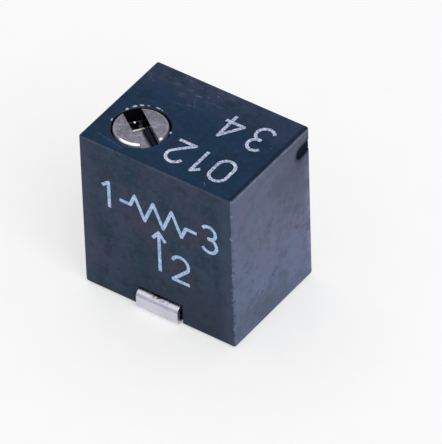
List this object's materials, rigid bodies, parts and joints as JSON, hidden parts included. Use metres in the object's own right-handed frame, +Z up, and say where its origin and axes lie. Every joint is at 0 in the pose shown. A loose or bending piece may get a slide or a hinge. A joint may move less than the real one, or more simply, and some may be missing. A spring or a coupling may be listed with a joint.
{
  "type": "trimmer potentiometer",
  "caption": "Small dark blue box-shaped trimmer potentiometer with a slotted metal adjusting screw in its top and bent metal surface-mount terminals folded under its base.",
  "frame": {"origin": "centre of the footprint on the plane of the circuit board, under the terminals' soles", "axes": "+X along the marked front face towards its right end, +Y from that face to the potted back, +Z up from the board towards the adjusting screw"},
  "size_m": [0.0066, 0.0052, 0.0069],
  "materials": {
    "housing_plastic": "moulded thermoset, fine satin grain",
    "resin": "cast epoxy with a smooth meniscus",
    "alumina": "as fired",
    "cermet": "fired film",
    "silver_print": "fired film",
    "tinned_strip": "bright tin plate on copper alloy",
    "solder": "reflowed",
    "spring_steel": "stamped sheet",
    "plated_brass": "satin nickel plate",
    "seal_rubber": "silicone",
    "rotor_plastic": "moulded, natural colour",
    "contact_alloy": "stamped spring alloy"
  },
  "bodies": {
    "housing": {"housing": "housing_plastic", "potting_resin": "resin", "ceramic_substrate": "alumina", "resistive_track": "cermet", "collector_print": "silver_print", "end_print_1": "silver_print", "end_print_3": "silver_print", "wiper_terminal": "tinned_strip", "end_terminal_1": "tinned_strip", "end_terminal_3": "tinned_strip", "solder_joint_1": "solder", "solder_joint_2": "solder", "solder_joint_3": "solder", "screw_retainer": "spring_steel"},
    "screw": {"adjusting_screw": "plated_brass", "screw_o_ring": "seal_rubber"},
    "rotor": {"worm_wheel": "rotor_plastic", "wiper_contact": "contact_alloy"}
  },
  "joints": [
    {"name": "screw_turn", "type": "hinge", "parent": "housing", "child": "screw", "pos_m": [-0.00163, -0.00089, 0.0035], "axis": [0, 0, 1], "range_deg": [-1980, 1980]},
    {"name": "rotor_turn", "type": "hinge", "parent": "housing", "child": "rotor", "pos_m": [0.00062, -0.00089, 0.00333], "axis": [0, 1, 0], "range_deg": [-141.5, 141.5]}
  ],
  "couplings": [
    {"joint": "rotor_turn", "follows": "screw_turn", "ratio": -0.071429}
  ]
}
